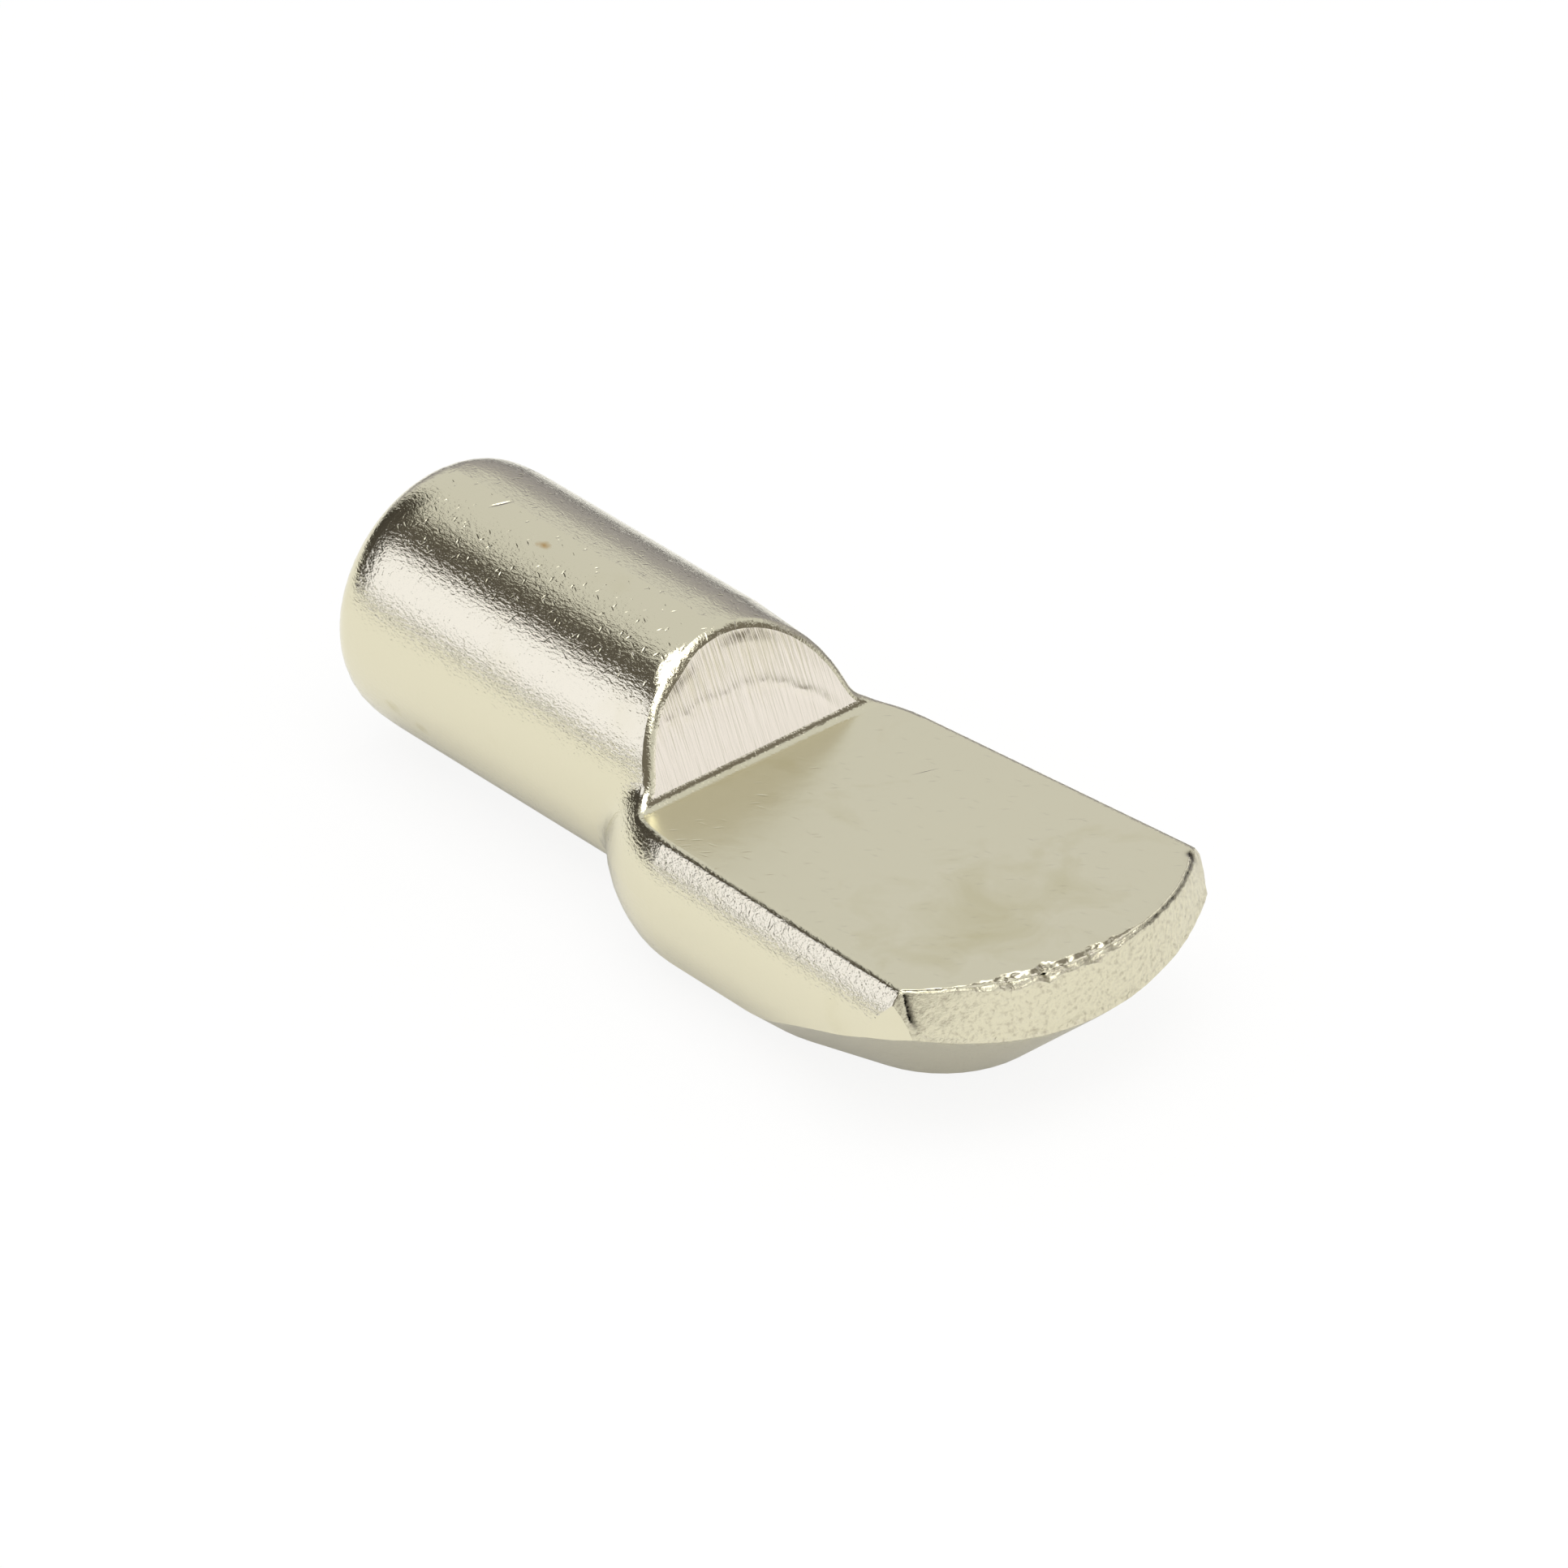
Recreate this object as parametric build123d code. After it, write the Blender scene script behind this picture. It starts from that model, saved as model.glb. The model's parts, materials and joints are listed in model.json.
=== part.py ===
from build123d import *
from math import cos, radians, tan
import os

# Shelf support pin in millimetres: a round shank with a pressed tongue, all one piece of wire.
# X runs along the shank's axis towards the tongue's tip and Z is up.
# The origin is on the shank's axis, at the mouth of the hole that takes the shank.

# Shank: the round peg that goes into the hole
shank_diameter = 5.0
shank_length = 6.45
shank_end_round = 0.55

# Neck: the wire beyond the hole's mouth, drawn a little thinner by the press
neck_length = 1.95
neck_draw = 0.16

# Step: the leaning face left where the top half of the wire is pressed away
step_lean_angle = 22.6
step_foot_round = 0.22
step_rim_round = 0.18

# Flat: the pressed seat that carries the shelf, rising a little towards the tip
flat_height = 0.33
flat_rise_angle = 2.3
flat_edge_round = 0.05

# Tongue: round-shouldered and barrel-sided, widest at a belly line below the flat
tongue_length = 8.6
tongue_flare_angle = 3.2
shoulder_overhang = 0.84
shoulder_reach = 1.1
belly_drop = 1.05
upper_side_round = 1.6
lower_side_round = 2.4
neck_round = 0.5

# Tip: the cropped end of the wire, rounder in plan at the flat than at the chin
tip_radius = 4.7
tip_chin_radius = 7.0
tip_chin_drop = 1.4
tip_tuck = 0.1
tip_corner_setback = 1.35
tip_corner_trim = 0.24
tip_corner_angle = 23.0

# Cup: the flat-footed bowl that the lower die leaves under the tongue
cup_slope_angle = 42.5
cup_foot_drop = 0.02
cup_rear_inset = 0.96
cup_rear_reach = 1.2
cup_waist_setback = 5.5
cup_front_inset = 1.46
cup_front_setback = 3.95

overrun = 0.5

shank_radius = shank_diameter / 2
shoulder_radius = shank_radius + shoulder_overhang
cup_rear_radius = shoulder_radius - cup_rear_inset
cup_front_radius = shoulder_radius - cup_front_inset
cup_waist_reach = tongue_length - cup_waist_setback
cup_front_reach = tongue_length - cup_front_setback
tip_corner_reach = tongue_length - tip_corner_setback
seat = Pos(neck_length, 0, flat_height) * Rot(0, -flat_rise_angle, 0)


def shank():
    neck_end = (neck_length + shoulder_reach, shank_radius - neck_draw)
    end = (-shank_length, shank_radius)
    bar = Polyline((end[0], 0), end, (0, end[1]), neck_end, (neck_end[0], 0), close=True)
    peg = revolve(Plane.XZ * make_face(bar), Axis.X)
    return fillet(peg.edges().sort_by(Axis.X)[0], shank_end_round)


def side_section(depth):
    """The barrel side's profile, out to the belly line at the given depth."""
    crown = (depth - upper_side_round, upper_side_round)
    keel = (depth - lower_side_round, -lower_side_round)
    upper = RadiusArc(crown, (depth, 0), upper_side_round)
    lower = RadiusArc((depth, 0), keel, lower_side_round)
    core = Polyline(keel, (0, -lower_side_round), (0, upper_side_round), crown)
    return make_face(Curve() + [upper, lower, core])


def paddle():
    """The barrel-sided body: a round shoulder with two flared sides that leave it tangent."""
    shoulder = revolve(Plane.XZ * side_section(shoulder_radius), Axis.Z)
    strip = Plane.YZ * Pos(-overrun, 0) * side_section(shoulder_radius + overrun)
    left = Rot(0, 0, tongue_flare_angle) * extrude(strip, tongue_length + overrun)
    right = mirror(left, Plane.XZ)
    return seat * Pos(shoulder_reach, 0, -belly_drop) * (shoulder + left + right)


def cup():
    """The bowl under the tongue: an egg-shaped foot with walls sloping out and up all round."""
    front = Pos(neck_length + cup_front_reach, 0) * Circle(cup_front_radius)
    waist = Pos(neck_length + cup_waist_reach, 0) * Circle(cup_rear_radius)
    rear = Pos(neck_length + cup_rear_reach, 0) * Circle(cup_rear_radius)
    foot = make_hull(front.edges() + waist.edges() + rear.edges())
    return extrude(Pos(0, 0, -shank_radius - cup_foot_drop) * foot, shank_diameter, taper=cup_slope_angle - 90)


def tip_slice(drop):
    """The tip's plan at a depth below the flat: a round front with straight sides behind it."""
    chin_share = drop / tip_chin_drop
    radius = tip_radius + chin_share * (tip_chin_radius - tip_radius)
    front_x = tongue_length - chin_share * tip_tuck - radius
    rear_x = -shank_length - tongue_length
    plan = SlotCenterToCenter(front_x - rear_x, 2 * radius)
    return Pos((front_x + rear_x) / 2, 0, -drop) * plan


def tip():
    crown_height = upper_side_round - belly_drop + overrun
    return seat * loft([tip_slice(-crown_height), tip_slice(shank_diameter)], ruled=True)


def tip_corners():
    """Upright planes that trim the barrel's bulge towards the tip's two corners."""
    flare = radians(tongue_flare_angle)
    spread = tan(radians(tip_corner_angle))
    belly_y = shoulder_radius / cos(flare) + (tip_corner_reach - shoulder_reach) * tan(flare)
    tip_corner_width = 2 * (belly_y - tip_corner_trim)
    front_x = tongue_length + overrun
    front_y = tip_corner_width / 2 - spread * (front_x - tip_corner_reach)
    rear_x = -tongue_length
    rear_y = tip_corner_width / 2 + spread * (tip_corner_reach - rear_x)
    plan = Polyline((rear_x, rear_y), (front_x, front_y), (front_x, -front_y), (rear_x, -rear_y), close=True)
    return seat * extrude(make_face(plan), shank_diameter, both=True)


def tongue():
    return paddle() & cup() & tip() & tip_corners()


def punch():
    """What the upper die presses away: the space above the flat and ahead of the step."""
    reach = tongue_length + overrun
    lean = shank_diameter * tan(radians(step_lean_angle))
    profile = Polyline((0, 0), (reach, 0), (reach, shank_diameter), (-lean, shank_diameter), close=True)
    block = extrude(Plane.XZ * make_face(profile), tongue_length, both=True)
    foot = block.edges().filter_by(Axis.Y).sort_by(Axis((0, 0, 0), (1, 0, 1)))[0]
    return seat * fillet(foot, step_foot_round)


def shelf_pin():
    press = punch()
    peg = shank() - press
    blade = tongue() - press
    pin = peg + blade
    neck = [e for e in new_edges(peg, blade, combined=pin) if abs(e.center().Y) > shank_radius / 2]
    pin = fillet(neck, neck_round)
    step = pin.faces().filter_by(GeomType.PLANE).filter_by(lambda f: f.normal_at().X > 0 and f.center().Z > 0)
    rim = step.sort_by(Axis.Z)[-1].edges().filter_by(GeomType.LINE, reverse=True)
    pin = fillet(rim, step_rim_round)
    flat = pin.faces().filter_by(GeomType.PLANE).filter_by(lambda f: f.normal_at().Z > 0.9)
    outline = flat.sort_by(Axis.X)[-1].edges().filter_by(Axis.Y, reverse=True)
    return fillet(outline, flat_edge_round)


os.makedirs("parts", exist_ok=True)
export_step(shelf_pin(), "parts/shelf_pin.step")
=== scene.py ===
import json
import math

import bmesh
import bpy
from bpy.props import FloatProperty, FloatVectorProperty, PointerProperty
from mathutils import Matrix, Vector, noise


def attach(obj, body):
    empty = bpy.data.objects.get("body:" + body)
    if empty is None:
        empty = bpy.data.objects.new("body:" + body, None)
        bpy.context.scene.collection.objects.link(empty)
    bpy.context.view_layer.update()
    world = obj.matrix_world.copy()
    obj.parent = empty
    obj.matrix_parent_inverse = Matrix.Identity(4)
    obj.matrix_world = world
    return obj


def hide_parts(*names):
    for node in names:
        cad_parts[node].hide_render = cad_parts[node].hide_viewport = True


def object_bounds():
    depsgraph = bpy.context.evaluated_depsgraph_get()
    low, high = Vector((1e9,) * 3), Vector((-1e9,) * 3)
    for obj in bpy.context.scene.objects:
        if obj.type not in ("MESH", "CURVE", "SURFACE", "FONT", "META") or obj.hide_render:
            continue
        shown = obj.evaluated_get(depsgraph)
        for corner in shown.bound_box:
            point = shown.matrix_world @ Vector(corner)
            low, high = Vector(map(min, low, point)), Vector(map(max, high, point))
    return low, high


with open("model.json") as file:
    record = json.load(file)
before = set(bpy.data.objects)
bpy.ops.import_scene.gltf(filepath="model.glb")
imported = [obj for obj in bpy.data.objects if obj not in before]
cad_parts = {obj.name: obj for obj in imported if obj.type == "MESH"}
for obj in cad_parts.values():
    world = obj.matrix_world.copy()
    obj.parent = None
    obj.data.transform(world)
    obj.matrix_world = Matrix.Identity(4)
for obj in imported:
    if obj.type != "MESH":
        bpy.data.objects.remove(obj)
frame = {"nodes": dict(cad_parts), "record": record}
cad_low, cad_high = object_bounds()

bl_info = {
    "name": "Shelf Support Pin",
    "version": (1, 0, 0),
    "blender": (4, 5, 0),
    "location": "View3D > Sidebar > Shelf Pin",
    "description": "Dresses a pressed wire shelf pin in worn nickel plate and sets it on a studio table",
    "category": "Add Mesh",
}

MM = 0.001
SHANK_RADIUS = 2.5 * MM
TAPER_START, TAPER_END = 5.2 * MM, 6.2 * MM

# The flat that carries the shelf, and the step that leans back from its inner end.
SEAT = next(m for m in frame["record"]["mounts"] if m["name"] == "seat")
FLAT_UP = Vector(SEAT["axis"])
FLAT_ALONG = Vector((FLAT_UP.z, 0, -FLAT_UP.x))
SEAT_TO_STEP = 4.3 * MM
STEP_FOOT = Vector(SEAT["pos_m"]) - FLAT_ALONG * SEAT_TO_STEP
STEP_LEAN = math.radians(22.6)
STEP_OUT = FLAT_ALONG * math.cos(STEP_LEAN) + FLAT_UP * math.sin(STEP_LEAN)
STEP_UP = FLAT_UP * math.cos(STEP_LEAN) - FLAT_ALONG * math.sin(STEP_LEAN)

# The bowed tip: its reach from the step and its bow at the flat, and how both change down to the chin.
TIP_REACH, TIP_BOW = 8.6 * MM, 4.7 * MM
CHIN_DROP, CHIN_SET_BACK, CHIN_BOW_GAIN = 1.4 * MM, 0.1 * MM, 2.3 * MM

DRAWN, PRESSED, SCRAPED, SHEARED = range(4)


def linear(code):
    """An sRGB hex colour as linear RGBA."""
    parts = [int(code[i:i + 2], 16) / 255 for i in (0, 2, 4)]
    return [c / 12.92 if c <= 0.04045 else ((c + 0.055) / 1.055) ** 2.4 for c in parts] + [1.0]


def add(tree, kind, links=None, **settings):
    """Adds a node, sets its properties and fills its sockets with values or with other nodes' outputs."""
    made = tree.nodes.new(kind)
    for key, value in settings.items():
        setattr(made, key, value)
    for key, value in (links or {}).items():
        if isinstance(value, bpy.types.NodeSocket):
            tree.links.new(value, made.inputs[key])
        else:
            made.inputs[key].default_value = value
    return made


class PinFinish(bpy.types.PropertyGroup):
    """Colours and surface grain of the plated wire."""

    plate: FloatVectorProperty(name="Nickel plate", description="Colour of the warm nickel plating",
                               subtype="COLOR", size=4, min=0, max=1, default=linear("DED9C0"))
    stain: FloatVectorProperty(name="Stain", description="Colour of the handling stains on the plating",
                               subtype="COLOR", size=4, min=0, max=1, default=linear("CEC7A4"))
    rust: FloatVectorProperty(name="Rust", description="Colour of the small rust spot on the shank",
                              subtype="COLOR", size=4, min=0, max=1, default=linear("B48C46"))
    scraped: FloatVectorProperty(name="Scraped plate", description="Paler plating on the step's scraped face",
                                 subtype="COLOR", size=4, min=0, max=1, default=linear("E1DBC8"))
    # The pit colour is painted shade in the low parts of the tip's torn grain.
    pit_shade: FloatVectorProperty(name="Pit", description="Colour in the pits of the cropped tip",
                             subtype="COLOR", size=4, min=0, max=1, default=linear("B4AC98"))
    # The fold colour is painted shade: the dark down in the folds beside the burr, painted into the plate.
    fold_shade: FloatVectorProperty(name="Fold", description="Colour down in the folds beside the burr",
                              subtype="COLOR", size=4, min=0, max=1, default=linear("3C362C"))
    pimple: FloatProperty(name="Pimple", description="Width of the plating's pimples",
                          unit="LENGTH", default=0.05 * MM, precision=6)
    nick_width: FloatProperty(name="Nick width",
                              description="Width of a nick from another pin in the plating barrel",
                              unit="LENGTH", default=0.03 * MM, precision=6)
    nick_length: FloatProperty(name="Nick length",
                               description="Length of a nick from another pin in the plating barrel",
                               unit="LENGTH", default=0.12 * MM, precision=6)
    drag_line: FloatProperty(name="Drag line", description="Spacing of the lines the punch scrapes down the step",
                             unit="LENGTH", default=0.05 * MM, precision=6)
    shear_grain: FloatProperty(name="Shear grain", description="Width of the grains on the cropped tip",
                               unit="LENGTH", default=0.1 * MM, precision=6)


class PinWear(bpy.types.PropertyGroup):
    """Depths of the marks that the tools left in the metal."""

    tear: FloatProperty(name="Tear", description="Height of the torn grain on the cropped tip",
                        unit="LENGTH", default=0.016 * MM, precision=6)
    burr: FloatProperty(name="Burr", description="Width of the crushed burr along the tip's upper edge",
                        unit="LENGTH", default=0.22 * MM, precision=6)
    crack: FloatProperty(name="Crack", description="Depth of the fold under the burr on one side of the tip",
                         unit="LENGTH", default=0.08 * MM, precision=6)
    rollover: FloatProperty(name="Rollover", description="How far the shank's edge is drawn down at the step",
                            unit="LENGTH", default=0.05 * MM, precision=6)
    ripple: FloatProperty(name="Ripple", description="Height of the ripple across the scraped step",
                          unit="LENGTH", default=0.007 * MM, precision=6)
    dent: FloatProperty(name="Dent", description="Depth of the chips along the top of the step",
                        unit="LENGTH", default=0.025 * MM, precision=6)
    taper: FloatProperty(name="Taper", description="How far the shank draws in towards its end",
                         unit="LENGTH", default=0.06 * MM, precision=6)


class PinStage(bpy.types.PropertyGroup):
    """The camera and the light of the studio table."""

    azimuth: FloatProperty(name="Azimuth", description="Camera's way round the pin", subtype="ANGLE",
                           default=math.radians(48.199))
    elevation: FloatProperty(name="Elevation", description="Camera's height above the table", subtype="ANGLE",
                             default=math.radians(32.671))
    distance: FloatProperty(name="Distance", description="From the camera to its target", unit="LENGTH",
                            default=250 * MM)
    target: FloatVectorProperty(name="Target", description="Point at the middle of the picture",
                                subtype="TRANSLATION", default=(2.61 * MM, 0, 0.114 * MM), precision=6)
    lens: FloatProperty(name="Lens", description="Focal length on a 36 mm sensor", default=339.99)
    room: FloatProperty(name="Room light", description="Strength of the even light all round", default=0.8)
    lamp: FloatProperty(name="Overhead light", description="Brightness of the softbox over the table", default=2.0)


def bell(value, width):
    """1 at zero, falling off smoothly over the width."""
    return math.exp(-(value / width) ** 2)


def ease(value, start, end):
    """0 before the start, 1 after the end, smooth between them."""
    share = min(max((value - start) / (end - start), 0), 1)
    return share * share * (3 - 2 * share)


def grain(p, width, salt=0.0):
    """Smooth noise between about -1 and 1, with lumps of the given width."""
    return noise.noise(p / width + Vector((salt, 2 * salt, -salt)))


def tip_place(p):
    """How far along the flat a point lies, how far above it, and how far behind the cropped end."""
    off = p - STEP_FOOT
    along, up = off.dot(FLAT_ALONG), off.dot(FLAT_UP)
    share = -up / CHIN_DROP
    radius = TIP_BOW + share * CHIN_BOW_GAIN
    front = TIP_REACH - share * CHIN_SET_BACK - radius + math.sqrt(max(radius ** 2 - p.y ** 2, 0))
    return along, up, front - along


def step_place(p):
    """How far a point stands out from the step, and how far up it from the flat."""
    off = p - STEP_FOOT
    return off.dot(STEP_OUT), off.dot(STEP_UP)


def fold_at(p):
    """1 in the folds that the crop left: a ragged one under the burr, a notch in one corner, a line down the other. It
    sets both how deep they are pressed and where painted shade darkens them.
    """
    along, up, depth = tip_place(p)
    if depth > 0.4 * MM:
        return 0.0
    across = Vector((p.y, 0, 0))
    level = -0.07 * MM + 0.05 * MM * grain(across, 0.22 * MM, 11) + 0.02 * MM * grain(across, 0.07 * MM, 12)
    one_side = ease(p.y, 0.5 * MM, 1.3 * MM) * ease(-p.y, -3.3 * MM, -3.0 * MM)
    ragged = one_side * (0.8 + 0.5 * grain(across, 0.15 * MM, 14))
    burr_fold = ragged * bell(up - level, 0.035 * MM) * bell(depth, 0.12 * MM)
    notch = bell(math.hypot(along - 7.42 * MM, p.y - 3.12 * MM), 0.09 * MM) * bell(up, 0.15 * MM)
    line_along = 7.35 * MM - 0.38 * (up + 0.11 * MM)
    down_corner = ease(-up, 0, 0.08 * MM) * ease(up, -0.75 * MM, -0.4 * MM) * ease(-p.y, 2.8 * MM, 3.1 * MM)
    corner_line = down_corner * bell(along - line_along, 0.03 * MM)
    return min(max(burr_fold, 0) + notch + corner_line, 1)


def tip_wear(p, wear):
    """Movement of a point by the crop: torn grain, a crushed upper edge, a fold under it and a corner notch."""
    along, up, depth = tip_place(p)
    across = Vector((p.y, 0, 0))
    move = Vector()
    torn = grain(p, 0.3 * MM) * 0.6 + grain(p, 0.13 * MM, 7) * 0.5 + grain(p, 0.07 * MM, 13) * 0.3
    move += FLAT_ALONG * (torn - 0.6) * wear.tear * bell(depth, 0.1 * MM)

    crushed = ease(p.y, -2.7 * MM, -1.7 * MM) * ease(-p.y, -1.1 * MM, 0)
    set_back = wear.burr * (0.22 + 0.78 * crushed) * (1 + 0.5 * grain(across, 0.3 * MM, 3))
    drop = 0.9 * set_back
    run = set_back - depth - up
    skin = bell(max(min(depth, -up), 0), 0.05 * MM)
    if 0 < run < set_back + drop:
        part = run / (set_back + drop)
        behind, below = max(set_back - run, 0), max(run - set_back, 0)
        move -= FLAT_ALONG * (set_back * (1 - part) - behind) * skin
        move += FLAT_UP * (below - drop * part) * skin
        lump = grain(p, 0.17 * MM, 31) + 0.5 * grain(p, 0.08 * MM, 37)
        move += (FLAT_ALONG + FLAT_UP) * lump * 0.1 * set_back * math.sin(math.pi * part) * skin

    move -= (FLAT_ALONG * 0.7 + FLAT_UP * 0.3) * wear.crack * fold_at(p)
    lower_edge = -1.25 * MM + 50 * p.y ** 2
    ragged = 0.02 * MM * (grain(p, 0.08 * MM, 17) - 0.6)
    move += FLAT_ALONG * ragged * bell(up - lower_edge, 0.06 * MM) * bell(depth, 0.1 * MM)
    return move


def step_wear(p, wear):
    """Movement of a point by the punch: the shank's edge drawn down, a ripple across the step and chips at its top."""
    out, height = step_place(p)
    radial = Vector((0, p.y, p.z))
    arc = math.degrees(math.atan2(p.y, p.z))
    knocked = 0.35 + 1.6 * bell(arc + 27, 9)
    rim = ease(radial.length, 2.05 * MM, 2.4 * MM) * ease(height, 0.25 * MM, 0.7 * MM)
    move = -radial.normalized() * wear.rollover * knocked * rim * ease(out, -0.45 * MM, 0.02 * MM) ** 2

    face = bell(out, 0.08 * MM)
    crest = 1.22 * MM - 280 * max(p.y, 0) ** 2 + 0.06 * MM * grain(Vector((p.y, 0, 0)), 0.5 * MM, 9)
    inside = ease(2.1 * MM - abs(p.y), 0, 0.5 * MM)
    lump = 0.7 + 0.7 * grain(p, 0.18 * MM, 15) + 0.3 * grain(p, 0.09 * MM, 19)
    move += STEP_OUT * wear.ripple * lump * bell(height - crest, 0.1 * MM) * face * inside
    move -= STEP_OUT * wear.ripple * 0.7 * ease(height - crest, -0.02 * MM, 0.25 * MM) * face * inside
    chips = bell(arc - 13, 13) * (0.75 + 0.5 * grain(p, 0.2 * MM, 25))
    move -= STEP_OUT * wear.dent * chips * ease(radial.length, 2.1 * MM, 2.33 * MM) * face
    return move


def wear_at(p, wear):
    """How far a point of the plain pin is moved by the marks of the tools."""
    if p.x < -TAPER_START:
        drawn_in = ease(-p.x, TAPER_START, TAPER_END) ** 2 * wear.taper / SHANK_RADIUS
        return Vector((0, p.y, p.z)) * -drawn_in
    if tip_place(p)[2] < 0.5 * MM:
        return tip_wear(p, wear)
    out, height = step_place(p)
    if -0.7 * MM < out < 0.3 * MM and height > 0.1 * MM:
        return step_wear(p, wear)
    return Vector()


def bend_at(p, wear):
    """The matrix that turns the plain pin's normal at a point into the moved surface's."""
    step = 0.012 * MM
    columns = []
    for axis in (Vector((step, 0, 0)), Vector((0, step, 0)), Vector((0, 0, step))):
        columns.append((wear_at(p + axis, wear) - wear_at(p - axis, wear)) / (2 * step))
    return (Matrix(columns).transposed() + Matrix.Identity(3)).inverted().transposed()


def finish_of(face):
    """The finish that a face of the plain pin has, by where it is and which way it faces."""
    where, facing = face.calc_center_median(), face.normal
    off = where - STEP_FOOT
    if facing.dot(FLAT_UP) > 0.9995 and abs(off.dot(FLAT_UP)) < 0.01 * MM:
        return PRESSED
    if facing.dot(STEP_OUT) > 0.9995 and abs(off.dot(STEP_OUT)) < 0.01 * MM:
        return SCRAPED
    if tip_place(where)[2] < 0.12 * MM and facing.x > 0.5:
        return SHEARED
    return DRAWN


def refine(bm, chosen, size):
    """Halves the longest edge of each chosen triangle until none is longer than the size."""
    for _ in range(24):
        longest = dict.fromkeys(max(f.edges, key=bmesh.types.BMEdge.calc_length) for f in bm.faces if chosen(f))
        edges = [e for e in longest if e.calc_length() > size]
        if not edges:
            return
        for edge in edges:
            sides = [(f, next(v for v in f.verts if v not in edge.verts)) for f in edge.link_faces]
            middle = bmesh.utils.edge_split(edge, edge.verts[0], 0.5)[1]
            for face, corner in sides:
                bmesh.utils.face_split(face, middle, corner)


def near_tip_edge(face):
    """Whether a face reaches the tip's upper edge or the line down its corner."""
    spots = [(*tip_place(v.co), v.co.y) for v in face.verts]
    return any(-0.1 * MM < d < 0.3 * MM and u > (-0.75 * MM if y < -3 * MM else -0.28 * MM) for _, u, d, y in spots)


def is_tooled(face):
    """Whether a face is on the scraped step or the cropped tip."""
    return face.material_index in (SCRAPED, SHEARED)


def near_rim(face):
    """Whether a face reaches the step's rim."""
    return any(-0.55 * MM < o < 0.1 * MM and h > 0.15 * MM for o, h in (step_place(v.co) for v in face.verts))


def near_shank_end(face):
    """Whether a face reaches the part of the shank that draws in."""
    return any(v.co.x < 0.5 * MM - TAPER_START for v in face.verts)


def new_plate(name, roughness):
    """A bare metal material, its node tree and the Object coordinates that its patterns lie on."""
    mat = bpy.data.materials.new(name)
    mat.use_nodes = True
    shader = mat.node_tree.nodes["Principled BSDF"]
    shader.inputs["Metallic"].default_value = 1.0
    shader.inputs["Roughness"].default_value = roughness
    return mat, mat.node_tree, add(mat.node_tree, "ShaderNodeTexCoord").outputs["Object"]


def cover(tree, tone, normal):
    """Gives a plate its colour and its bumps."""
    shader = tree.nodes["Principled BSDF"]
    tree.links.new(tone.outputs["Result"], shader.inputs["Base Color"])
    tree.links.new(normal.outputs[0], shader.inputs["Normal"])


def paint_fold_shade(tree, tone, colour):
    """The plate's colour with painted shade where the metal is folded."""
    fold_shade_mask = add(tree, "ShaderNodeAttribute", attribute_name="fold_shade")
    return add(tree, "ShaderNodeMix", {"Factor": fold_shade_mask.outputs["Fac"], "A": tone.outputs["Result"], "B": colour},
               data_type="RGBA")


def oval_mark(tree, place, middle, half_sizes, angle=0.0):
    """How far a place is from an oval mark's middle, reaching 1 at its edge. The sizes are in millimetres."""
    lay = add(tree, "ShaderNodeMapping", {"Vector": place, "Location": [c * MM for c in middle],
                                          "Rotation": [0, 0, angle], "Scale": [*(h * MM for h in half_sizes), 1]},
              vector_type="TEXTURE")
    return add(tree, "ShaderNodeVectorMath", {0: lay.outputs[0]}, operation="LENGTH").outputs["Value"]


def scattered_nicks(tree, place, shift, angle, spacing, reach, depth):
    """The height, in millimetres, of small dips scattered one to a cell."""
    lay = add(tree, "ShaderNodeMapping", {"Vector": place, "Location": [shift, 0, 0], "Rotation": [0, 0, angle],
                                          "Scale": [*spacing, 1]}, vector_type="TEXTURE")
    cells = add(tree, "ShaderNodeTexVoronoi", {"Vector": lay.outputs[0], "Scale": 1.0}, voronoi_dimensions="2D")
    return add(tree, "ShaderNodeMapRange", {"Value": cells.outputs["Distance"], "From Min": 0.02, "From Max": reach,
                                            "To Min": -depth, "To Max": 0.0}).outputs[0]


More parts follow.
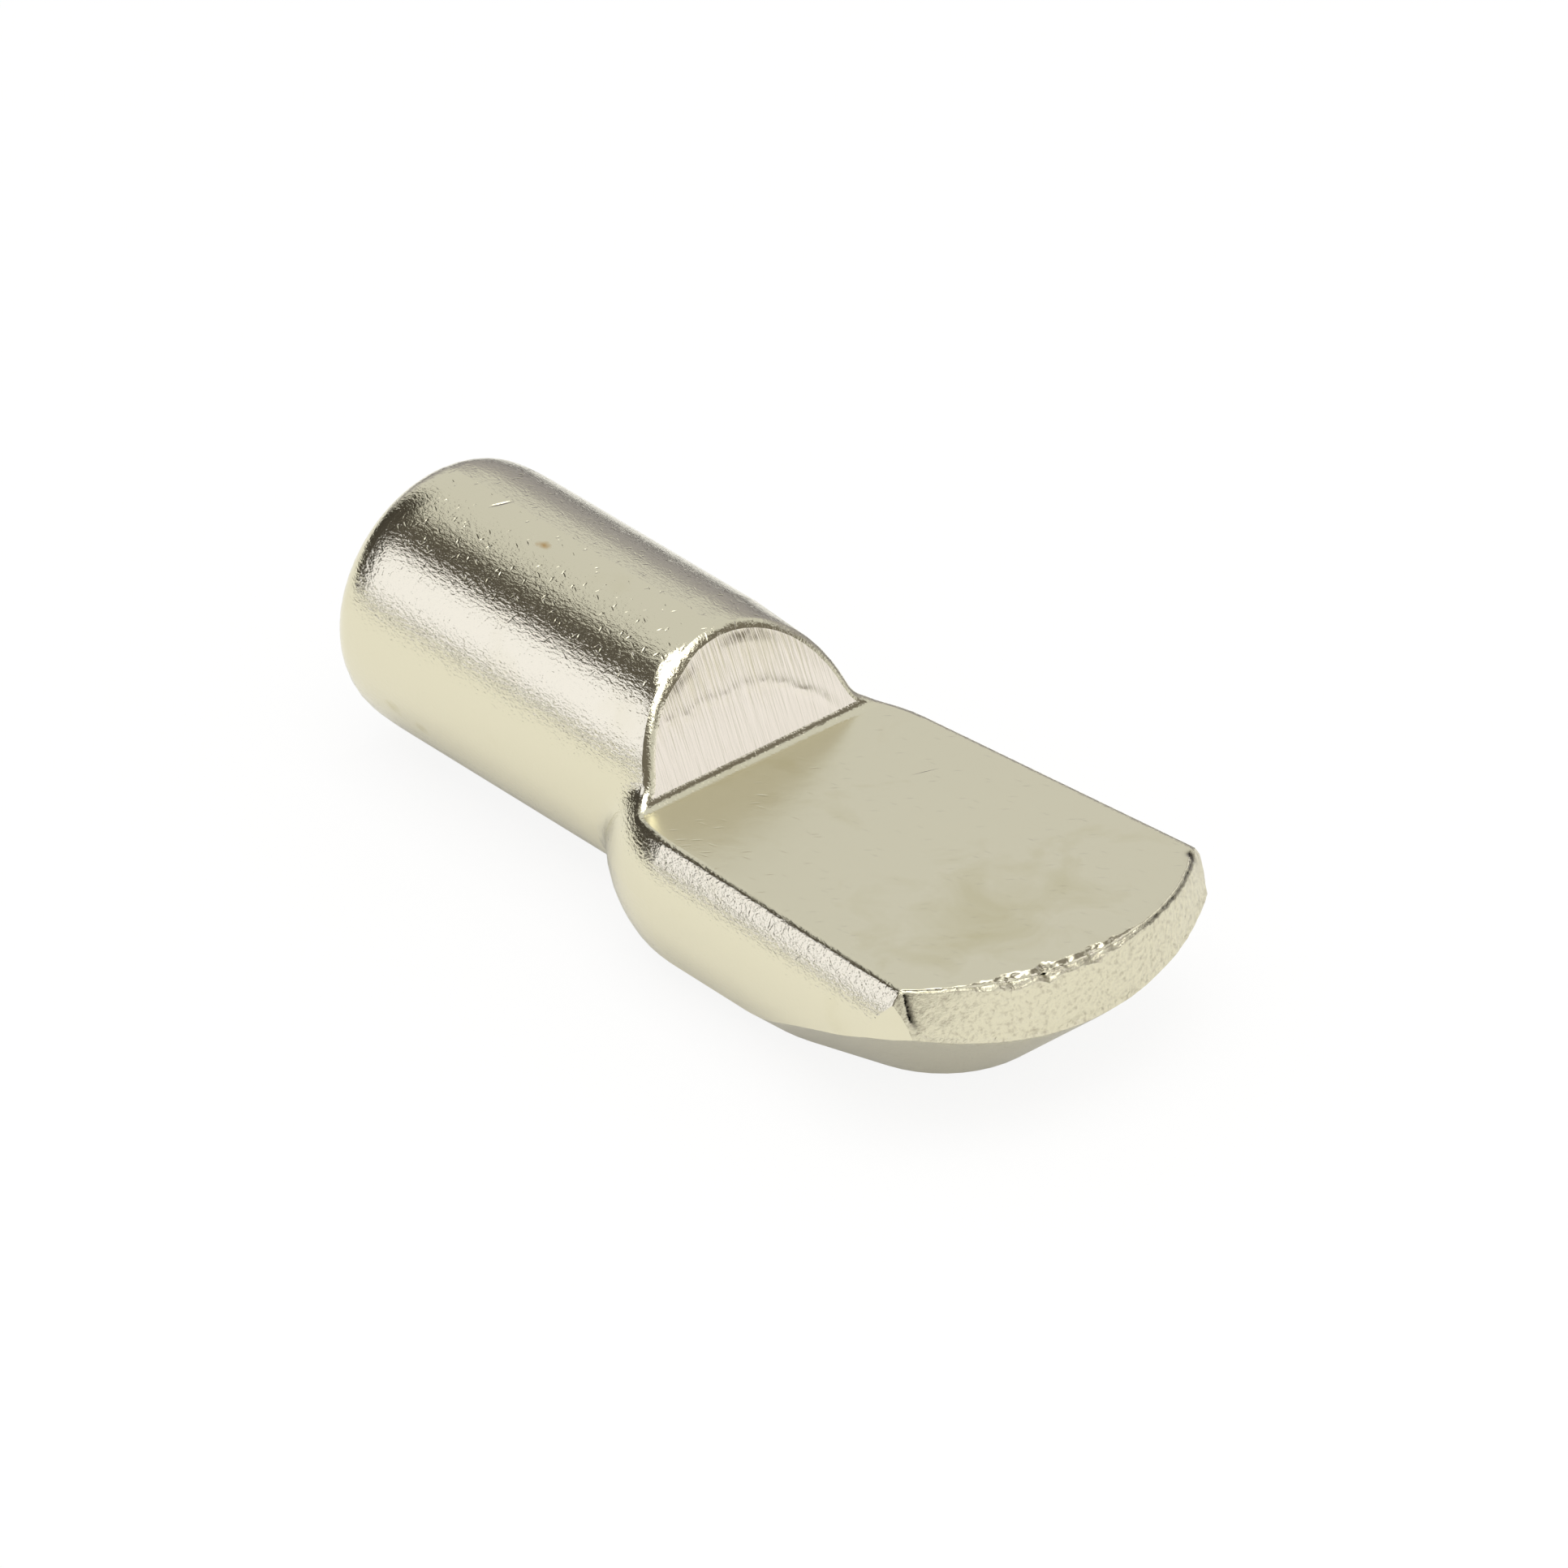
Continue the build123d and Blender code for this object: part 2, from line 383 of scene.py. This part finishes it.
def drawn_plate(finish):
    """Drawn steel wire, barrel-plated in bright nickel: near-mirror, with fine pimples that break up the edges
    of reflections, bright little nicks, a few longer scratches, stains and one rust spot."""
    mat, tree, place = new_plate("nickel_plate_on_drawn_wire", 0.12)
    parts = add(tree, "ShaderNodeSeparateXYZ", {0: place})
    turn = add(tree, "ShaderNodeMath", {0: parts.outputs["Y"], 1: parts.outputs["Z"]}, operation="ARCTAN2")
    arc = add(tree, "ShaderNodeMath", {0: turn.outputs[0], 1: SHANK_RADIUS}, operation="MULTIPLY")
    skin = add(tree, "ShaderNodeCombineXYZ", {0: parts.outputs["X"], 1: arc.outputs[0]}).outputs[0]

    # Real pimples and nicks are several times finer than this. They are drawn as coarse as they need to show.
    drawn = add(tree, "ShaderNodeMapping", {"Vector": place,
                                            "Scale": [2 * finish.pimple, finish.pimple, finish.pimple]},
                vector_type="TEXTURE")
    pimples = add(tree, "ShaderNodeTexNoise", {"Vector": drawn.outputs[0], "Scale": 1.0, "Detail": 2.0,
                                               "Roughness": 0.6})
    height = add(tree, "ShaderNodeMath", {0: pimples.outputs["Fac"], 1: 0.0085}, operation="MULTIPLY")

    # The nicks are deepest along the shank's top and fade out before its end face.
    upper = add(tree, "ShaderNodeMapRange", {"Value": parts.outputs["Z"], "From Min": 1.6 * MM, "From Max": 2.0 * MM,
                                             "To Min": 0.25, "To Max": 1.0})
    inner = add(tree, "ShaderNodeMapRange", {"Value": parts.outputs["X"], "From Min": -6.2 * MM,
                                             "From Max": -5.9 * MM})
    nicked = add(tree, "ShaderNodeMath", {0: upper.outputs[0], 1: inner.outputs[0]}, operation="MULTIPLY")
    spacing = (10 * finish.nick_width, 8 * finish.nick_length)
    for angle, shift in ((0.25, 0.0), (-0.4, 0.37 * MM), (1.1, 0.71 * MM)):
        dips = scattered_nicks(tree, skin, shift, angle, spacing, 0.08, 0.005)
        height = add(tree, "ShaderNodeMath", {0: dips, 1: nicked.outputs[0], 2: height.outputs[0]},
                     operation="MULTIPLY_ADD")

    # Each scratch's place along the shank and round it, its angle, and its half length, half width and depth in mm.
    scratches = ((-4.46, -0.16, 1.17, 0.27, 0.04, 0.02), (-3.99, 0.38, -0.33, 0.15, 0.014, 0.004),
                 (-1.14, 0.14, -0.08, 0.23, 0.014, 0.004))
    for x, y, angle, length, width, depth in scratches:
        far = oval_mark(tree, skin, (x, y, 0), (length, width), angle)
        dip = add(tree, "ShaderNodeMapRange", {"Value": far, "To Min": -depth, "To Max": 0.0})
        height = add(tree, "ShaderNodeMath", {0: height.outputs[0], 1: dip.outputs[0]}, operation="ADD")
    normal = add(tree, "ShaderNodeBump", {"Height": height.outputs[0], "Distance": MM, "Strength": 1.0})

    patches = add(tree, "ShaderNodeTexNoise", {"Vector": place, "Scale": 1 / (1.6 * MM), "Detail": 4.0})
    dirty = add(tree, "ShaderNodeMapRange", {"Value": patches.outputs["Fac"], "From Min": 0.58, "From Max": 0.8,
                                             "To Min": 0.0, "To Max": 0.4})
    tone = add(tree, "ShaderNodeMix", {"Factor": dirty.outputs[0], "A": finish.plate, "B": finish.stain},
               data_type="RGBA")
    # Painted shade darkens the plate in the folds beside the burr.
    tone = paint_fold_shade(tree, tone, finish.fold_shade)
    ragged = add(tree, "ShaderNodeTexNoise", {"Vector": place, "Scale": 1 / (0.15 * MM), "Detail": 2.0})
    spots = ((-3.0, -0.46, 0.2, 0.12, finish.rust), (-4.83, -4.82, 0.3, 0.2, finish.stain),
             (-4.16, -4.98, 0.22, 0.2, finish.stain))
    for x, y, length, width, colour in spots:
        far = oval_mark(tree, skin, (x, y, 0), (length, width))
        rough = add(tree, "ShaderNodeMath", {0: far, 1: ragged.outputs["Fac"]}, operation="ADD")
        mark = add(tree, "ShaderNodeMapRange", {"Value": rough.outputs[0], "From Min": 0.7, "From Max": 1.4,
                                                "To Min": 0.8, "To Max": 0.0})
        tone = add(tree, "ShaderNodeMix", {"Factor": mark.outputs[0], "A": tone.outputs["Result"], "B": colour},
                   data_type="RGBA")
    cover(tree, tone, normal)
    return mat


def pressed_plate(finish):
    """Nickel plate over a die-pressed flat: satin beside the wire, with handling stains and a few fine scratches."""
    mat, tree, place = new_plate("nickel_plate_on_pressed_flat", 0.26)
    waves = add(tree, "ShaderNodeTexNoise", {"Vector": place, "Scale": 1 / (0.8 * MM), "Detail": 4.0})
    height = add(tree, "ShaderNodeMath", {0: waves.outputs["Fac"], 1: 0.008}, operation="MULTIPLY")
    for angle in (0.2, 0.9):
        dips = scattered_nicks(tree, place, 0, angle, (1.6 * MM, 0.35 * MM), 0.07, 0.002)
        height = add(tree, "ShaderNodeMath", {0: height.outputs[0], 1: dips}, operation="ADD")
    for x, y, angle, length, width in ((4.26, 1.72, 1.25, 0.3, 0.02), (2.93, -0.77, 0.6, 0.12, 0.03)):
        far = oval_mark(tree, place, (x, y, 0.4), (length, width), angle)
        dip = add(tree, "ShaderNodeMapRange", {"Value": far, "To Min": -0.006, "To Max": 0.0})
        height = add(tree, "ShaderNodeMath", {0: height.outputs[0], 1: dip.outputs[0]}, operation="ADD")
    normal = add(tree, "ShaderNodeBump", {"Height": height.outputs[0], "Distance": MM, "Strength": 1.0})

    # The stains gather where fingers touch, towards the tip.
    smears = add(tree, "ShaderNodeTexNoise", {"Vector": place, "Scale": 1 / (1.3 * MM), "Detail": 4.0,
                                              "Distortion": 0.6})
    far = oval_mark(tree, place, (8.3, -0.4, 0.6), (2.2, 2.6))
    handled = add(tree, "ShaderNodeMapRange", {"Value": far, "From Min": 0.2, "From Max": 1.3, "To Min": 0.25,
                                               "To Max": -0.1})
    smeared = add(tree, "ShaderNodeMath", {0: smears.outputs["Fac"], 1: handled.outputs[0]}, operation="ADD")
    dirty = add(tree, "ShaderNodeMapRange", {"Value": smeared.outputs[0], "From Min": 0.5, "From Max": 0.9})
    tone = add(tree, "ShaderNodeMix", {"Factor": dirty.outputs[0], "A": finish.plate, "B": finish.stain},
               data_type="RGBA")
    # Painted shade darkens the plate in the folds beside the burr.
    cover(tree, paint_fold_shade(tree, tone, finish.fold_shade), normal)
    return mat


def scraped_plate(finish):
    """Nickel plate over the step that the punch scraped: pale and satin, with dragged lines, deepest in its upper
    half. Real drag lines are finer than these, which are drawn as coarse as they need to show."""
    mat, tree, place = new_plate("nickel_plate_on_scraped_step", 0.22)
    line_length = 1.2 * MM
    lay = add(tree, "ShaderNodeMapping", {"Vector": place,
                                          "Scale": [1 / line_length, 1 / finish.drag_line, 1 / line_length]})
    lines = add(tree, "ShaderNodeTexNoise", {"Vector": lay.outputs[0], "Scale": 1.0, "Detail": 2.0})
    climb = add(tree, "ShaderNodeVectorMath", {0: place, 1: STEP_UP}, operation="DOT_PRODUCT")
    foot = STEP_FOOT.dot(STEP_UP)
    upper = add(tree, "ShaderNodeMapRange", {"Value": climb.outputs["Value"], "From Min": foot + 0.5 * MM,
                                             "From Max": foot + 1.7 * MM, "To Min": 0.35, "To Max": 1.0})
    cuts = add(tree, "ShaderNodeMath", {0: lines.outputs["Fac"], 1: upper.outputs[0]}, operation="MULTIPLY")
    normal = add(tree, "ShaderNodeBump", {"Height": cuts.outputs[0], "Distance": 0.014 * MM, "Strength": 1.0})
    streaks = add(tree, "ShaderNodeMapRange", {"Value": cuts.outputs[0], "From Min": 0.3, "From Max": 0.75,
                                               "To Min": 0.0, "To Max": 0.6})
    tone = add(tree, "ShaderNodeMix", {"Factor": streaks.outputs[0], "A": finish.scraped, "B": finish.stain},
               data_type="RGBA")
    cover(tree, tone, normal)
    return mat


def sheared_plate(finish):
    """Nickel plate over the cropped tip: torn steel grain that scatters the light, with painted shade in the low parts
    of the grain.
    """
    mat, tree, place = new_plate("nickel_plate_on_sheared_tip", 0.24)
    lumps = add(tree, "ShaderNodeTexNoise", {"Vector": place, "Scale": 1 / finish.shear_grain, "Detail": 5.0,
                                             "Roughness": 0.65})
    normal = add(tree, "ShaderNodeBump", {"Height": lumps.outputs["Fac"], "Distance": 0.025 * MM, "Strength": 1.0})
    # Painted shade: the low parts of the grain take the darker pit colour.
    pit_shade_mask = add(tree, "ShaderNodeMapRange", {"Value": lumps.outputs["Fac"], "From Min": 0.25, "From Max": 0.5})
    tone = add(tree, "ShaderNodeMix", {"Factor": pit_shade_mask.outputs[0], "A": finish.pit_shade, "B": finish.plate},
               data_type="RGBA")
    # Painted shade darkens the plate in the folds beside the burr.
    cover(tree, paint_fold_shade(tree, tone, finish.fold_shade), normal)
    return mat


class PIN_OT_body(bpy.types.Operator):
    """Make the plated and worn pin over its CAD solid"""

    bl_idname = "shelf_pin.body"
    bl_label = "Plated Pin"

    def execute(self, context):
        finish, wear = context.scene.shelf_pin_finish, context.scene.shelf_pin_wear
        mesh = frame["nodes"]["shelf_pin"].data.copy()
        mesh.name = "plated_pin"
        kept = mesh.attributes.new("plain_normal", "FLOAT_VECTOR", "CORNER")
        kept.data.foreach_set("vector", [c for n in mesh.corner_normals for c in n.vector])
        mesh.materials.clear()
        for make in (drawn_plate, pressed_plate, scraped_plate, sheared_plate):
            mesh.materials.append(make(finish))

        bm = bmesh.new()
        bm.from_mesh(mesh)
        bmesh.ops.remove_doubles(bm, verts=bm.verts, dist=0.0005 * MM)
        bm.normal_update()
        for face in bm.faces:
            face.material_index = finish_of(face)
            face.smooth = True
        for chosen, size in ((near_tip_edge, 0.06), (is_tooled, 0.09), (near_rim, 0.1), (near_shank_end, 0.35)):
            refine(bm, chosen, size * MM)

        plain = bm.loops.layers.float_vector["plain_normal"]
        fold_shade = bm.verts.layers.float.new("fold_shade")
        # Each point's share of the painted shade in the folds, kept for the plates' colour.
        for vert in bm.verts:
            vert[fold_shade] = fold_at(vert.co)
            move = wear_at(vert.co, wear)
            if move.length > 0:
                bend = bend_at(vert.co, wear)
                for loop in vert.link_loops:
                    loop[plain] = bend @ loop[plain]
                vert.co += move
        bm.to_mesh(mesh)
        bm.free()
        normals = [Vector(d.vector).normalized() for d in mesh.attributes["plain_normal"].data]
        mesh.attributes.remove(mesh.attributes["plain_normal"])
        mesh.normals_split_custom_set(normals)
        pin = bpy.data.objects.new("plated_pin", mesh)
        context.scene.collection.objects.link(pin)
        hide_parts("shelf_pin")
        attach(pin, "root")
        return {"FINISHED"}


def soft_room(scene, strength):
    """Even light all round, with white behind the table for the camera alone."""
    world = bpy.data.worlds.new("soft_room")
    world.use_nodes = True
    tree = world.node_tree
    path = add(tree, "ShaderNodeLightPath")
    level = add(tree, "ShaderNodeMapRange", {"Value": path.outputs["Is Camera Ray"], "To Min": strength,
                                             "To Max": 1.0})
    tree.links.new(level.outputs[0], tree.nodes["Background"].inputs["Strength"])
    tree.nodes["Background"].inputs["Color"].default_value = (1, 1, 1, 1)
    scene.world = world


def paper_table(scene):
    """White paper under the pin. The camera sees most of it as plain white, and the rest keeps the pin's shadow."""
    half_side, seen_white, mirrored_white = 1.5, 0.88, 0.2
    bm = bmesh.new()
    bmesh.ops.create_grid(bm, x_segments=1, y_segments=1, size=half_side)
    bmesh.ops.translate(bm, verts=bm.verts, vec=(0, 0, cad_low.z))
    mesh = bpy.data.meshes.new("table")
    bm.to_mesh(mesh)
    bm.free()
    mat = bpy.data.materials.new("white_paper_sweep")
    mat.use_nodes = True
    tree = mat.node_tree
    tree.nodes.remove(tree.nodes["Principled BSDF"])
    path = add(tree, "ShaderNodeLightPath")
    mirrored = add(tree, "ShaderNodeMath", {0: path.outputs["Is Glossy Ray"],
                                            1: path.outputs["Is Transmission Ray"]}, operation="MAXIMUM")
    part = add(tree, "ShaderNodeMath", {0: mirrored.outputs[0], 1: mirrored_white}, operation="MULTIPLY")
    share = add(tree, "ShaderNodeMath", {0: path.outputs["Is Camera Ray"], 1: seen_white, 2: part.outputs[0]},
                operation="MULTIPLY_ADD")
    paper = add(tree, "ShaderNodeBsdfDiffuse", {"Color": linear("F4F3F0")})
    white = add(tree, "ShaderNodeEmission", {"Color": (1, 1, 1, 1), "Strength": 1.0})
    mix = add(tree, "ShaderNodeMixShader", {0: share.outputs[0], 1: paper.outputs[0], 2: white.outputs[0]})
    tree.links.new(mix.outputs[0], tree.nodes["Material Output"].inputs["Surface"])
    mesh.materials.append(mat)
    table = bpy.data.objects.new("table", mesh)
    scene.collection.objects.link(table)


def glow_card(name, bm, colour, strength):
    """A card that only reflections show, with an even glow."""
    mesh = bpy.data.meshes.new(name)
    bm.to_mesh(mesh)
    bm.free()
    mat = bpy.data.materials.new(name)
    mat.use_nodes = True
    tree = mat.node_tree
    tree.nodes.remove(tree.nodes["Principled BSDF"])
    glow = add(tree, "ShaderNodeEmission", {"Color": linear(colour), "Strength": strength})
    tree.links.new(glow.outputs[0], tree.nodes["Material Output"].inputs["Surface"])
    mesh.materials.append(mat)
    card = bpy.data.objects.new(name, mesh)
    card.visible_camera = False
    card.visible_shadow = False
    card.visible_diffuse = False
    bpy.context.scene.collection.objects.link(card)


def strip_card(name, low, high, near, far, colour, strength):
    """A long curved card beside the pin, between two angles about the pin's axis and two places along it in mm."""
    radius = 320 * MM
    bm = bmesh.new()
    ends = [bm.verts.new((x * MM, -radius * math.cos(math.radians(low)), radius * math.sin(math.radians(low))))
            for x in (near, far)]
    edge = bm.edges.new(ends)
    bmesh.ops.spin(bm, geom=[*ends, edge], cent=(0, 0, 0), axis=(-1, 0, 0), angle=math.radians(high - low), steps=12)
    glow_card(name, bm, colour, strength)


def flat_card(name, sides, middle, tilt, colour, strength):
    """A flat card, tilted about Y, with its sides and its middle in metres."""
    bm = bmesh.new()
    bmesh.ops.create_grid(bm, x_segments=1, y_segments=1, size=0.5)
    bmesh.ops.scale(bm, verts=bm.verts, vec=(*sides, 1))
    bmesh.ops.rotate(bm, verts=bm.verts, cent=(0, 0, 0), matrix=Matrix.Rotation(tilt, 3, "Y"))
    bmesh.ops.translate(bm, verts=bm.verts, vec=middle)
    glow_card(name, bm, colour, strength)


def cards():
    """The bright and dark cards that the plating mirrors."""
    strip_card("left_softbox", 4, 50, -385, -120, "EFEFFF", 1.42)
    strip_card("left_gap", 50, 80, -385, -90, "FFF4E8", 0.12)
    strip_card("left_end", -1, 80, -1000, -385, "FFF4E8", 0.08)
    strip_card("left_sill", -2, 4, -385, 420, "FFF4E8", 0.05)
    strip_card("camera_side", 4, 48, -120, 420, "FFF4E8", 0.2)
    strip_card("right_gap", 75, 162, 95, 385, "FFF4E8", 0.22)
    strip_card("right_reflector", 112, 186, 385, 1500, "F2F0FA", 1.36)
    strip_card("far_grey", 155, 181, -1500, 95, "F0ECF4", 0.5)
    on_table = cad_low.z + 0.05 * MM
    flat_card("far_line", (0.4, 0.017), (-0.195, 0.0245, on_table), 0, "F0ECF4", 0.1)
    flat_card("far_table", (0.4, 0.287), (-0.195, 0.1765, on_table), 0, "F0ECF4", 0.45)
    flat_card("dark_far_end", (1, 1), (-1, -0.31, 0.49), math.pi / 2, "FFF4E8", 0.07)


def overhead_light(scene, brightness):
    """A softbox over the table."""
    lamp = bpy.data.lights.new("overhead_softbox", "AREA")
    lamp.shape = "RECTANGLE"
    lamp.size, lamp.size_y = 0.26, 0.29
    lamp.energy = brightness * math.pi * lamp.size * lamp.size_y
    overhead = bpy.data.objects.new("overhead_softbox", lamp)
    overhead.location = (0.055, -0.055, 0.3)
    scene.collection.objects.link(overhead)


def photo_camera(scene, stage):
    """The camera at the photograph's angle."""
    a, e = stage.azimuth, stage.elevation
    back = Vector((math.sin(a) * math.cos(e), -math.cos(a) * math.cos(e), math.sin(e)))
    data = bpy.data.cameras.new("camera")
    data.lens = stage.lens
    data.sensor_width = 36
    data.clip_start, data.clip_end = 0.01, 10
    camera = bpy.data.objects.new("camera", data)
    camera.location = Vector(stage.target) + back * stage.distance
    camera.rotation_euler = back.to_track_quat("Z", "Y").to_euler()
    scene.collection.objects.link(camera)
    scene.camera = camera


class PIN_OT_stage(bpy.types.Operator):
    """Lay the table, the soft light and the camera"""

    bl_idname = "shelf_pin.stage"
    bl_label = "Studio Table"

    def execute(self, context):
        scene, stage = context.scene, context.scene.shelf_pin_stage
        scene.view_settings.view_transform = "Standard"
        soft_room(scene, stage.room)
        paper_table(scene)
        cards()
        overhead_light(scene, stage.lamp)
        photo_camera(scene, stage)
        return {"FINISHED"}


class PIN_PT_panel(bpy.types.Panel):
    """Lists the pin's operators"""

    bl_label = "Shelf Pin"
    bl_idname = "PIN_PT_panel"
    bl_space_type = "VIEW_3D"
    bl_region_type = "UI"
    bl_category = "Shelf Pin"

    def draw(self, context):
        for operator in (PIN_OT_stage, PIN_OT_body):
            self.layout.operator(operator.bl_idname)


CLASSES = (PinFinish, PinWear, PinStage, PIN_OT_stage, PIN_OT_body, PIN_PT_panel)


def register():
    for cls in CLASSES:
        bpy.utils.register_class(cls)
    bpy.types.Scene.shelf_pin_finish = PointerProperty(type=PinFinish)
    bpy.types.Scene.shelf_pin_wear = PointerProperty(type=PinWear)
    bpy.types.Scene.shelf_pin_stage = PointerProperty(type=PinStage)


def unregister():
    del bpy.types.Scene.shelf_pin_stage
    del bpy.types.Scene.shelf_pin_wear
    del bpy.types.Scene.shelf_pin_finish
    for cls in reversed(CLASSES):
        bpy.utils.unregister_class(cls)


def main():
    register()
    bpy.ops.shelf_pin.stage()
    bpy.ops.shelf_pin.body()


if __name__ == "__main__":
    main()
